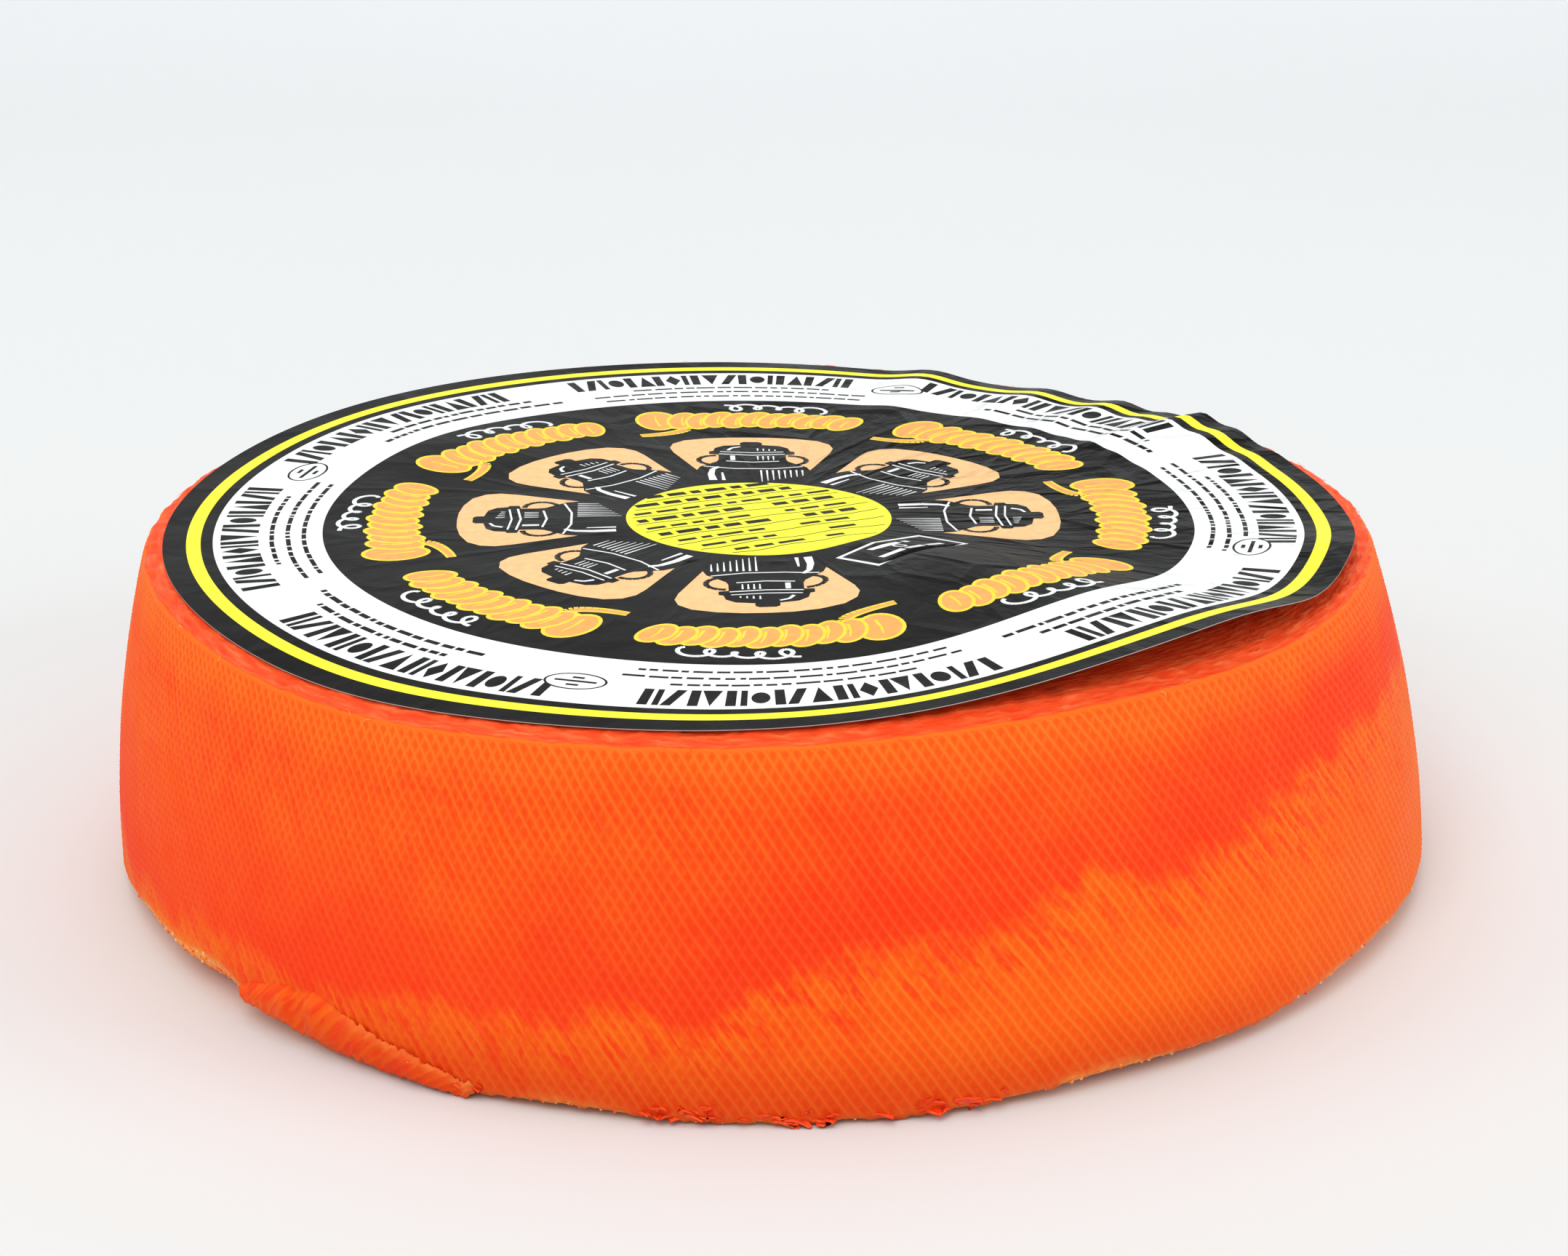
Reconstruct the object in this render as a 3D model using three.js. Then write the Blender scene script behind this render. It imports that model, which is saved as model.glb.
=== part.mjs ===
// A whole wheel of pressed, washed-rind cheese with a printed paper label on its top.
// Millimetres, +Z up. The wheel stands on z = 0 and its foot is centred on the Z axis.
// Azimuth 0 is the front, -Y, and grows towards +X.
import * as THREE from "three";

// ---- driving dimensions -------------------------------------------------------------
const FOOT_RADIUS = 102.15;       // wheel at the floor, before the foot's own waves
const WALL_BULGE = 0.003;         // the wall draws in by this times the height squared
const LEAN = 0.047;               // sideways lean of the soft wheel, mm per mm of height
const RIDGE_HEIGHT = 51.2;        // floor to the top edge, before its waves
const RIDGE_ROUNDING = 1.6;       // radius of the top edge
const FLAT_SHARE = 0.93;          // radius of the flat underside as a share of the foot
const TOP_HEIGHT = 52.2;          // floor to the top face, before its swellings

const LABEL_RADIUS = 91.1;
const LABEL_THICKNESS = 0.3;
const LABEL_GAP = 0.35;           // between the rind and the label's underside
const CURL_HEIGHT = 4.6;          // how far the label's loose front right part stands up
const CURL_AZIMUTH = 43;

const COLUMNS = 144;              // steps around the wheel and the label
const WALL_ROWS = 10;
const ROUNDING_ROWS = 3;
const TOP_ROWS = 6;
const LABEL_ROWS = 6;

// ---- shape rules ----------------------------------------------------------------------
const degrees = THREE.MathUtils.degToRad;

// A smooth hump of height 1 around an azimuth, both in degrees.
function hump(azimuth, centre, spread) {
  const away = Math.atan2(Math.sin(azimuth - degrees(centre)), Math.cos(azimuth - degrees(centre)));
  return Math.exp(-((away / degrees(spread)) ** 2));
}

// Height of the torn lower edge of the rind: a notch at the left, lifted along the right.
function lipHeight(azimuth) {
  const waves = 0.6 + 0.25 * Math.sin(5 * azimuth + 0.6) * Math.sin(3 * azimuth);
  const notch = 4.8 * hump(azimuth, -64, 14) + 3.6 * hump(azimuth, -51, 5);
  const liftedEdge = 3.4 * hump(azimuth, 62, 26) + 1.6 * hump(azimuth, 28, 10);
  const backEdge = 1.6 * hump(azimuth, 165, 22);
  return waves + notch + liftedEdge + backEdge;
}

// Radius of the wall, with the strip of rind that is folded up against its foot at the front left.
function wallRadius(azimuth, z) {
  const outOfRound = 0.5 * hump(azimuth, -10, 24) - 0.9 * hump(azimuth, 50, 26) * (1 - z / RIDGE_HEIGHT);
  const foldedStrip = 1.2 * hump(azimuth, -37, 9) * Math.exp(-(((z - 4.2) / 2.6) ** 2));
  return FOOT_RADIUS - WALL_BULGE * z * z + outOfRound + foldedStrip;
}

function ridgeHeight(azimuth) {
  const high = 1.6 * hump(azimuth, 30, 28) + 0.7 * hump(azimuth, 70, 14) + 0.9 * hump(azimuth, -137, 28);
  const low = 1.4 * hump(azimuth, -40, 18) + 1.6 * hump(azimuth, 148, 26);
  return RIDGE_HEIGHT + high - low;
}

// How much the rim of the top face stands above or below its middle.
function rimRise(azimuth) {
  const high = 2.0 * hump(azimuth, 27, 26) + 0.9 * hump(azimuth, -137, 28);
  const low = 0.4 + 1.4 * hump(azimuth, -40, 18) + 1.6 * hump(azimuth, 148, 26);
  return high - low;
}

// A soft round swelling of the top face, or a hollow where its height is negative.
function swelling(x, y, centreX, centreY, spread, height) {
  return height * Math.exp(-((x - centreX) ** 2 + (y - centreY) ** 2) / spread ** 2);
}

// Height of the top face at a distance from the leaned middle, up to where the edge rounds off.
function topHeight(azimuth, radius) {
  const x = radius * Math.sin(azimuth);
  const y = -radius * Math.cos(azimuth);
  const towardsEdge = (radius / LABEL_RADIUS) ** 6;
  return TOP_HEIGHT + rimRise(azimuth) * towardsEdge
    + swelling(x, y, -5, -30, 42, 1.0)
    + swelling(x, y, 8, 38, 36, -1.3)
    + swelling(x, y, -52, 38, 20, 0.9);
}

// The puckers of the label's back right edge: azimuth, height and half width in degrees.
const PUCKERS = [
  [160.5, 1.1, 3.5],
  [146.5, 0.8, 3.0],
  [137, 1.1, 2.8],
  [130.5, 0.8, 2.2],
  [125.5, 2.4, 2.6],
  [120, 1.6, 3.2],
  [112.5, 0.5, 3.0],
];

// How far the label stands off the rind: a stretch that has curled up, and the puckers.
function labelLift(azimuth, radius) {
  const share = radius / LABEL_RADIUS;
  const away = Math.atan2(Math.sin(azimuth), Math.cos(azimuth)) - degrees(CURL_AZIMUTH);
  const spread = away < 0 ? 22 : 18;
  const curl = CURL_HEIGHT * hump(azimuth, CURL_AZIMUTH, spread) * 1.35 * share / (share + 0.35);
  const turnedUp = 2.6 * hump(azimuth, 76, 11) * share ** 5 + hump(azimuth, 52, 10) * share ** 14;
  let puckered = 0;
  for (const [centre, height, halfWidth] of PUCKERS) {
    puckered += height * hump(azimuth, centre, halfWidth);
  }
  return curl + turnedUp + puckered * THREE.MathUtils.smoothstep(share, 0.55, 1.0);
}

function leaned(azimuth, radius, z, leanHeight = z) {
  return [radius * Math.sin(azimuth) - LEAN * leanHeight, -radius * Math.cos(azimuth), z];
}

// ---- a closed body of rings -------------------------------------------------------------
// Each ring is a function of azimuth that gives a point; the first and last rings are poles.
function closedBody(bottomPole, rings, topPole) {
  const positions = [...bottomPole];
  for (const ring of rings) {
    for (let column = 0; column < COLUMNS; column += 1) {
      positions.push(...ring(2 * Math.PI * column / COLUMNS));
    }
  }
  positions.push(...topPole);

  const index = [];
  const at = (ring, column) => 1 + ring * COLUMNS + column % COLUMNS;
  const last = 1 + rings.length * COLUMNS;
  for (let column = 0; column < COLUMNS; column += 1) {
    index.push(0, at(0, column + 1), at(0, column));
    for (let ring = 0; ring < rings.length - 1; ring += 1) {
      index.push(at(ring, column), at(ring, column + 1), at(ring + 1, column + 1));
      index.push(at(ring, column), at(ring + 1, column + 1), at(ring + 1, column));
    }
    index.push(at(rings.length - 1, column), at(rings.length - 1, column + 1), last);
  }

  const geometry = new THREE.BufferGeometry();
  geometry.setAttribute("position", new THREE.Float32BufferAttribute(positions, 3));
  geometry.setIndex(index);
  geometry.computeVertexNormals();
  return geometry;
}

// ---- the cheese, paste and rind in one piece ----------------------------------------------
function cheeseWheel() {
  const rings = [];

  // Flat underside, then the undercut up to the torn lip.
  rings.push((azimuth) => leaned(azimuth, FLAT_SHARE * FOOT_RADIUS, 0));
  rings.push((azimuth) => leaned(azimuth, wallRadius(azimuth, 0) - 0.9, lipHeight(azimuth) * 0.75));

  for (let row = 0; row <= WALL_ROWS; row += 1) {
    rings.push((azimuth) => {
      const low = lipHeight(azimuth);
      const high = ridgeHeight(azimuth) - RIDGE_ROUNDING;
      const z = THREE.MathUtils.lerp(low, high, (row / WALL_ROWS) ** 1.4);
      return leaned(azimuth, wallRadius(azimuth, z), z);
    });
  }

  for (let row = 1; row <= ROUNDING_ROWS; row += 1) {
    rings.push((azimuth) => {
      const turn = THREE.MathUtils.lerp(degrees(16), degrees(80), row / ROUNDING_ROWS);
      const shoulder = ridgeHeight(azimuth) - RIDGE_ROUNDING;
      const radius = wallRadius(azimuth, shoulder) - RIDGE_ROUNDING * (1 - Math.cos(turn));
      const z = shoulder + RIDGE_ROUNDING * Math.sin(turn);
      return leaned(azimuth, radius, z);
    });
  }

  for (let row = 1; row < TOP_ROWS; row += 1) {
    rings.push((azimuth) => {
      const radius = (LABEL_RADIUS - 1) * (1 - (row - 1) / TOP_ROWS) ** 0.8;
      return leaned(azimuth, radius, topHeight(azimuth, radius), RIDGE_HEIGHT);
    });
  }

  const geometry = closedBody([0, 0, 0], rings, leaned(0, 0, topHeight(0, 0), RIDGE_HEIGHT));
  const rind = new THREE.MeshStandardMaterial({ color: "#fb5a26", roughness: 0.55, metalness: 0 });
  const mesh = new THREE.Mesh(geometry, rind);
  mesh.name = "cheese_wheel";
  return mesh;
}

// ---- the printed paper label --------------------------------------------------------------
function paperLabel() {
  const surface = (radius, above) => (azimuth) => {
    const z = topHeight(azimuth, radius) + LABEL_GAP + labelLift(azimuth, radius) + above;
    return leaned(azimuth, radius, z, RIDGE_HEIGHT);
  };
  const rings = [];
  for (let row = 1; row <= LABEL_ROWS; row += 1) {
    rings.push(surface(LABEL_RADIUS * (row / LABEL_ROWS) ** 0.8, 0));
  }
  for (let row = LABEL_ROWS; row >= 1; row -= 1) {
    rings.push(surface(LABEL_RADIUS * (row / LABEL_ROWS) ** 0.8, LABEL_THICKNESS));
  }
  const geometry = closedBody(surface(0, 0)(0), rings, surface(0, LABEL_THICKNESS)(0));
  const paper = new THREE.MeshStandardMaterial({ color: "#d8d6cf", roughness: 0.4, metalness: 0 });
  const mesh = new THREE.Mesh(geometry, paper);
  mesh.name = "paper_label";
  return mesh;
}

const group = new THREE.Group();
group.add(cheeseWheel(), paperLabel());

export default group;
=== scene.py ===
import math
import random

import bmesh
import bpy
import numpy as np
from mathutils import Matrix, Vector, noise
from mathutils.geometry import delaunay_2d_cdt


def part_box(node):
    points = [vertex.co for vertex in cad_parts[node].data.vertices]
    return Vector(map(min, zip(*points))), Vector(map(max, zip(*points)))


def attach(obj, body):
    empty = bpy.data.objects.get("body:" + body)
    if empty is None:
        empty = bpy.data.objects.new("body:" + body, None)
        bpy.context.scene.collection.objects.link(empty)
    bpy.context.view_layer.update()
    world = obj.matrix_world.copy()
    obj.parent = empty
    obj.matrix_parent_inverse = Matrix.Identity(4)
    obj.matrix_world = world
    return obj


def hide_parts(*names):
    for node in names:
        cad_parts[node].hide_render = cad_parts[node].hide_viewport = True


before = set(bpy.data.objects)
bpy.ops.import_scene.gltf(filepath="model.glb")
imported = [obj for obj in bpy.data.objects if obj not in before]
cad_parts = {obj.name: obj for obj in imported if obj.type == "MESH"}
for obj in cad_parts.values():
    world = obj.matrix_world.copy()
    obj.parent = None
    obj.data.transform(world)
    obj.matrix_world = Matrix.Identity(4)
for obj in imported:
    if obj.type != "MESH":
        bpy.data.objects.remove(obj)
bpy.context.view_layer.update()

# ---- room, light and camera -----------------------------------------------------------
# The wheel stands in the middle of a seamless pale sweep that rises into a wall behind it.
# A long lens looks down on it a little from the front. Broad lamps and a bright room light it.
MM = 0.001
SWEEP_HALF_WIDTH = 1.6
SWEEP_FRONT = -1.0
SWEEP_BEND = 0.55
SWEEP_RADIUS = 0.5
SWEEP_TOP = 1.6
SWEEP_TINT = (0.735, 0.75, 0.725, 1)
WALL_TINT = (0.83, 0.84, 0.84, 1)


class Reading:
    """A value read off a node. A sum of readings adds the Math nodes that work it out."""

    def __init__(self, tree, socket):
        self.tree = tree
        self.socket = socket

    def work_out(self, operation, *values):
        return read(self.tree, "ShaderNodeMath", 0, dict(enumerate(values)), operation=operation)

    def __add__(self, other):
        return self.work_out("ADD", self, other)

    def __sub__(self, other):
        return self.work_out("SUBTRACT", self, other)

    def __rsub__(self, other):
        return self.work_out("SUBTRACT", other, self)

    def __mul__(self, other):
        return self.work_out("MULTIPLY", self, other)

    def __truediv__(self, other):
        return self.work_out("DIVIDE", self, other)

    def __rtruediv__(self, other):
        return self.work_out("DIVIDE", other, self)

    def __pow__(self, power):
        return self.work_out("POWER", self, power)


def fill(node, values):
    """Fills a node's inputs with plain values or with readings."""
    for key, value in values.items():
        if isinstance(value, Reading):
            value.tree.links.new(value.socket, node.inputs[key])
        else:
            node.inputs[key].default_value = value


def add_node(tree, kind, values=None, **settings):
    node = tree.nodes.new(kind)
    for key, value in settings.items():
        setattr(node, key, value)
    fill(node, values or {})
    return node


def read(tree, kind, output, values=None, **settings):
    """Adds a node and reads one of its outputs."""
    return Reading(tree, add_node(tree, kind, values, **settings).outputs[output])


def axes(vector):
    """The X, Y and Z of a vector."""
    parts = add_node(vector.tree, "ShaderNodeSeparateXYZ", {"Vector": vector}).outputs
    return [Reading(vector.tree, part) for part in parts]


def noise_at(place, scale, detail=2.0, distortion=0.0):
    """Noise between 0 and 1, with so many grains to the metre."""
    values = {"Vector": place, "Scale": scale, "Detail": detail, "Distortion": distortion}
    return read(place.tree, "ShaderNodeTexNoise", "Fac", values)


def mapped(value, low, high, bottom=0.0, top=1.0, steps="LINEAR"):
    """Goes from bottom to top while the value goes from low to high."""
    values = {"Value": value, "From Min": low, "From Max": high, "To Min": bottom, "To Max": top}
    return read(value.tree, "ShaderNodeMapRange", "Result", values, interpolation_type=steps)


def mix_colour(tree, factor, first, second, blend="MIX"):
    values = {"Factor": factor, "A": first, "B": second}
    return read(tree, "ShaderNodeMix", "Result", values, data_type="RGBA", blend_type=blend)


def make_material(name):
    """A new material, its node tree and its Principled BSDF."""
    material = bpy.data.materials.new(name)
    material.use_nodes = True
    return material, material.node_tree, material.node_tree.nodes["Principled BSDF"]


def link_piece(name, mesh):
    piece = bpy.data.objects.new(name, mesh)
    bpy.context.collection.objects.link(piece)
    return piece


def link_mesh(name, points, faces):
    """A smooth piece made of points in metres and of faces."""
    mesh = bpy.data.meshes.new(name)
    mesh.from_pydata([tuple(point) for point in points], [], faces)
    mesh.shade_smooth()
    return link_piece(name, mesh)


def make_sweep():
    profile = [(SWEEP_FRONT, 0.0), (SWEEP_BEND, 0.0)]
    for step in range(1, 17):
        turn = step / 16 * math.pi / 2
        profile.append((SWEEP_BEND + SWEEP_RADIUS * math.sin(turn), SWEEP_RADIUS * (1 - math.cos(turn))))
    profile.append((SWEEP_BEND + SWEEP_RADIUS, SWEEP_TOP))
    points = [(side * SWEEP_HALF_WIDTH, y, z) for y, z in profile for side in (-1, 1)]
    faces = [(2 * i, 2 * i + 1, 2 * i + 3, 2 * i + 2) for i in range(len(profile) - 1)]
    sweep = link_mesh("sweep", points, faces)

    material, tree, shader = make_material("pale_sweep")
    place = read(tree, "ShaderNodeTexCoord", "Object")
    _, depth, _ = axes(place)
    back = mapped(noise_at(place, 3.0, 3.0) * 0.3 + depth, 0.1, 1.0)
    tint = mix_colour(tree, back, SWEEP_TINT, WALL_TINT)
    fill(shader, {"Base Color": tint, "Roughness": 0.9, "Specular IOR Level": 0.1})
    sweep.data.materials.append(material)
    return sweep


make_sweep()


def add_lamp(name, place, size, watts, target=(0, 0, 0.03)):
    lamp = bpy.data.lights.new(name, "AREA")
    lamp.shape = "DISK"
    lamp.size = size
    lamp.energy = watts
    holder = bpy.data.objects.new(name, lamp)
    holder.location = place
    holder.rotation_euler = (Vector(target) - Vector(place)).to_track_quat("-Z", "Y").to_euler()
    bpy.context.collection.objects.link(holder)


add_lamp("ceiling_softbox", (-0.15, 0.1, 1.3), 1.3, 5.0)
add_lamp("front_softbox", (-0.3, -1.05, 1.2), 1.0, 9.0)
add_lamp("right_softbox", (1.3, -0.35, 0.6), 0.8, 5.5)
add_lamp("left_softbox", (-1.3, -0.35, 0.6), 0.8, 2.0)

world = bpy.data.worlds.new("bright_room")
world.use_nodes = True
fill(world.node_tree.nodes["Background"], {"Color": (0.93, 0.95, 1.0, 1), "Strength": 0.62})
bpy.context.scene.world = world
bpy.context.scene.view_settings.view_transform = "Standard"

LENS_LENGTH = 87.8                # on a film 36 mm wide
CAMERA_DISTANCE = 0.6
CAMERA_ELEVATION = math.radians(20.58)
CAMERA_PITCH = math.radians(19.72)
CAMERA_YAW = math.radians(0.10)

lens = bpy.data.cameras.new("camera")
lens.sensor_width = 36
lens.lens = LENS_LENGTH
camera = bpy.data.objects.new("camera", lens)
camera.location = (
    0.0005,
    -CAMERA_DISTANCE * math.cos(CAMERA_ELEVATION),
    0.025 + CAMERA_DISTANCE * math.sin(CAMERA_ELEVATION),
)
camera.rotation_euler = (math.pi / 2 - CAMERA_PITCH, 0, -CAMERA_YAW)
bpy.context.collection.objects.link(camera)
bpy.context.scene.camera = camera

# ---- the wheel of cheese ----------------------------------------------------------------
# One lump of pressed paste in its own rind. It was pressed in a cloth-lined mould, so its wall
# draws in towards the top, its foot is torn and folded, and the cloth's threads mark it all round.
wheel_low, wheel_high = (np.array(corner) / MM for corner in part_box("cheese_wheel"))
SKIN_INSET = 0.35                 # room for the relief of the threads
FOOT_RADIUS = (wheel_high[0] - wheel_low[0]) / 2 - SKIN_INSET
TOP_HEIGHT = wheel_high[2] - 1.6  # the top face is highest where its rim swells
RIDGE_HEIGHT = TOP_HEIGHT - 1.0
WALL_BULGE = 0.003                # the wall draws in by this times the height squared
LEAN = 0.047                      # sideways lean of the soft wheel, per unit of height
RIDGE_ROUNDING = 1.1
FLAT_RADIUS = 0.93 * FOOT_RADIUS
LABEL_RADIUS = 91.1

THREADS = 360                     # raised thread marks round the wheel, in each direction
MAIN_SLANT = 0.368                # threads crossed per millimetre of height
CROSS_SLANT = 0.345
ROW_STEP = 0.5 / (MAIN_SLANT + CROSS_SLANT)
COLUMNS = 2 * THREADS
WALL_ROWS = 70
ROUNDING_ROWS = 5
FLAT_SHARES = (0.2, 0.5, 0.8, 1.0)
UNDERCUT_SHARES = (0.25, 0.5, 0.75, 0.92)
FIRST_WALL_ROW = len(FLAT_SHARES) + len(UNDERCUT_SHARES)


def hump(azimuth, centre, spread):
    """A smooth hump of height 1 round an azimuth. The front is 0 degrees, and the right is 90."""
    away = (np.degrees(azimuth) - centre + 180) % 360 - 180
    return np.exp(-((away / spread) ** 2))


def step_up(value, low, high):
    """Goes smoothly from 0 to 1 while the value goes from low to high."""
    share = np.clip((value - low) / (high - low), 0, 1)
    return share * share * (3 - 2 * share)


def wander(azimuth, height, seed, size, octaves=3):
    """Seamless noise on the wheel's wall, about -1 to 1; size is its grain in millimetres."""
    places = (
        Vector((100 * math.sin(turn) / size, -100 * math.cos(turn) / size, height / size + seed))
        for turn in azimuth
    )
    return np.array([noise.fractal(place, 0.6, 2.0, octaves) for place in places])


def lip_height(azimuth):
    """Height of the torn lower edge: a notch at the left, lifted along the right and the back."""
    waves = 0.6 + 0.25 * np.sin(5 * azimuth + 0.6) * np.sin(3 * azimuth)
    notch = 4.8 * hump(azimuth, -64, 14) + 3.6 * hump(azimuth, -51, 5) + 1.8 * hump(azimuth, -42, 5)
    lifted = 3.4 * hump(azimuth, 62, 26) + 1.6 * hump(azimuth, 28, 10) + 1.6 * hump(azimuth, 165, 22)
    return waves + notch + lifted + 0.8 * hump(azimuth, -16, 6)


def wall_radius(azimuth, z):
    """Radius of the wall before the lean; its back left is drawn in near the top."""
    out_of_round = 0.5 * hump(azimuth, -10, 24) - 0.9 * hump(azimuth, 50, 26) * (1 - z / RIDGE_HEIGHT)
    drawn_in = 1.1 * hump(azimuth, -122, 24) * (z / RIDGE_HEIGHT) ** 3
    return FOOT_RADIUS - WALL_BULGE * z * z + out_of_round - drawn_in


def ridge_height(azimuth):
    """Height of the top edge, before it is rounded."""
    high = 1.6 * hump(azimuth, 30, 28) + 0.7 * hump(azimuth, 70, 14) + 0.9 * hump(azimuth, -137, 28)
    low = 1.4 * hump(azimuth, -40, 18) + 1.6 * hump(azimuth, 148, 26)
    return RIDGE_HEIGHT + high - low


def swelling(x, y, centre_x, centre_y, spread, height):
    """A soft round swelling of the top face, or a hollow where its height is negative."""
    return height * np.exp(-((x - centre_x) ** 2 + (y - centre_y) ** 2) / spread**2)


def top_height(azimuth, radius):
    """Height of the top face; its rim rises and falls with the ridge."""
    x = radius * np.sin(azimuth)
    y = -radius * np.cos(azimuth)
    swellings = swelling(x, y, -5, -30, 42, 1.0) + swelling(x, y, 8, 38, 36, -1.3)
    swellings = swellings + swelling(x, y, -52, 38, 20, 0.9)
    high = 2.0 * hump(azimuth, 27, 26) + 0.9 * hump(azimuth, -137, 28)
    low = 0.4 + 1.4 * hump(azimuth, -40, 18) + 1.6 * hump(azimuth, 148, 26)
    return TOP_HEIGHT + (high - low) * (radius / LABEL_RADIUS) ** 6 + swellings


def wall_point(azimuth, along):
    """Radius and height of the wall at a share of the way from the torn lip to the ridge."""
    lip = lip_height(azimuth)
    z = lip + (ridge_height(azimuth) - RIDGE_ROUNDING - lip) * along
    return wall_radius(azimuth, z), z


def wheel_rings():
    """All the rings from the middle of the underside to the middle of the top, one array row each."""
    columns = np.arange(COLUMNS)
    rings = []

    def add_ring(azimuth, radius, z, imprint=0.0, torn=0.0, ridge=0.0, shred=0.0):
        row = (azimuth, radius, z, imprint, torn, ridge, shred)
        rings.append([np.broadcast_to(part, COLUMNS).astype(float) for part in row])

    def azimuth_at(row):
        """The columns follow the main threads; the cloth lies closer on the left than on the right."""
        even = (columns / 2 - MAIN_SLANT * row * ROW_STEP) * 2 * math.pi / THREADS
        even = even - 0.085 * np.sin(even + 1.31) + 0.085 * math.sin(1.31)
        return even + 0.0035 * wander(even, row * ROW_STEP, 31.0, 11.0, 2)

    foot = azimuth_at(0)
    lip_noise = wander(foot, 0.0, 5.0, 3.0, 4)
    lip_lumps = wander(foot, 0.0, 9.0, 12.0, 2)
    scallops = 0.2 * np.cos(math.pi * columns) * (0.6 + 0.6 * lip_noise)
    for share in FLAT_SHARES:
        add_ring(foot, FLAT_RADIUS * share, 0)
    for share in UNDERCUT_SHARES:
        under = FLAT_RADIUS + (wall_radius(foot, 0) - 0.6 - FLAT_RADIUS) * share
        rise = 0.88 * share**1.6 * lip_height(foot)
        add_ring(foot, under + 0.25 * share * lip_noise, rise, torn=0.6 * share)

    torn = 0.14 + hump(foot, -59, 9) + 0.6 * hump(foot, -86, 4)
    torn = torn + 0.4 * hump(foot, 26, 3.5) + 0.3 * hump(foot, -16, 3)
    shred = hump(foot, -7, 3) + hump(foot, 3, 4) + hump(foot, 13, 5) + 0.6 * hump(foot, -24.5, 1.2)
    for row in range(WALL_ROWS + 1):
        azimuth = azimuth_at(row)
        radius, z = wall_point(azimuth, row / WALL_ROWS)
        edge = math.exp(-row * ROW_STEP / 0.9)
        radius = radius + edge * (0.3 * lip_noise + scallops - 0.35)
        z = np.maximum(z + edge * (0.8 * lip_noise + 0.6 * lip_lumps + scallops), 0.1)
        bare = math.exp(-row * ROW_STEP / 0.8) * torn
        add_ring(azimuth, radius, z, min(1, row / 2), bare, shred=edge * shred)

    ragged = wander(foot, 0.0, 17.0, 5.0, 4)
    for step in range(1, ROUNDING_ROWS + 1):
        azimuth = azimuth_at(WALL_ROWS + step)
        turn = math.radians(16 + (84 - 16) * step / ROUNDING_ROWS)
        shoulder = ridge_height(azimuth) - RIDGE_ROUNDING
        rough = math.sin(turn) * 0.3 * ragged
        radius = wall_radius(azimuth, shoulder) - RIDGE_ROUNDING * (1 - math.cos(turn)) + rough
        z = shoulder + RIDGE_ROUNDING * math.sin(turn) + rough
        add_ring(azimuth, radius, z, max(0, 1 - step / 3), ridge=1 - abs(step - 2.5) / 3)

    rim = rings[-1]
    for step in range(1, 7):
        share = step / 6
        radius = rim[1] + (LABEL_RADIUS - 1.5 - rim[1]) * share
        z = rim[2] + (top_height(rim[0], LABEL_RADIUS - 1.5) - rim[2]) * step_up(share, 0, 1)
        rough = 0.28 * wander(rim[0], 0.8 * step, 23.0, 2.6, 3)
        add_ring(rim[0], radius, z + rough)
    for radius in (84, 72, 55, 34, 14):
        add_ring(rim[0], radius, top_height(rim[0], radius))
    return (np.array([ring[part] for ring in rings]) for part in range(7))


def tube_faces(rings, sides):
    """Faces of a closed tube: rings of points, and one more point at each end."""
    faces = []
    for ring in range(rings - 1):
        for side in range(sides):
            beside = (side + 1) % sides
            faces.append((ring * sides + side, ring * sides + beside,
                          (ring + 1) * sides + beside, (ring + 1) * sides + side))
    first, last = rings * sides, rings * sides + 1
    for side in range(sides):
        beside = (side + 1) % sides
        faces.append((first, beside, side))
        faces.append((last, (rings - 1) * sides + side, (rings - 1) * sides + beside))
    return faces


def store(mesh, name, values):
    """Keeps a number for each point of a mesh."""
    mesh.attributes.new(name, "FLOAT", "POINT").data.foreach_set("value", values.astype(np.float32))


def corner_points(mesh):
    """The number of the point at each corner of the faces."""
    points = np.zeros(len(mesh.loops), dtype=np.int64)
    mesh.loops.foreach_get("vertex_index", points)
    return points


def lay_cloth(mesh, uv):
    """Keeps each corner's place in the cloth for the finish."""
    layer = mesh.uv_layers.new(name="cloth")
    layer.data.foreach_set("uv", uv.reshape(-1).astype(np.float32))


def make_wheel():
    angles, radii, heights, relief, torn, ridge, shred = wheel_rings()
    rows = len(angles)
    lean = LEAN * np.minimum(heights, RIDGE_HEIGHT)
    x = radii * np.sin(angles) - lean
    y = -radii * np.cos(angles)
    points = np.stack([x, y, heights], axis=2).reshape(-1, 3)
    top = [-LEAN * RIDGE_HEIGHT, 0, float(top_height(0.0, 0.0))]
    points = np.vstack([points, [0, 0, 0], top]) * MM
    wheel = link_mesh("cheese_rind", points, tube_faces(rows, COLUMNS))
    mesh = wheel.data

    # Where each point lies in the cloth: threads counted round the wheel, and rows up the wall.
    row_number = np.repeat(np.arange(rows) - FIRST_WALL_ROW, COLUMNS)
    main_thread = np.tile(np.arange(COLUMNS) / 2, rows)
    cross_thread = main_thread - row_number / 2
    for name, values in (
        ("main_thread", main_thread), ("cross_thread", cross_thread), ("imprint", relief),
        ("torn", torn), ("ridge", ridge), ("shred", shred),
    ):
        store(mesh, name, np.append(values, [0, 0]))

    # The same place for the finish, kept per corner so that it doesn't jump where the rings close.
    capped = np.minimum(corner_points(mesh), rows * COLUMNS - 1)
    column = capped % COLUMNS
    corner_face = np.repeat(np.arange(len(mesh.polygons)), [p.loop_total for p in mesh.polygons])
    face_column = np.where(corner_face < (rows - 1) * COLUMNS, corner_face % COLUMNS, 0)
    column = np.where((face_column == COLUMNS - 1) & (column == 0), COLUMNS, column)
    lay_cloth(mesh, np.stack([column / 2, (capped // COLUMNS - FIRST_WALL_ROW) / 2], axis=1))
    return wheel


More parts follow.
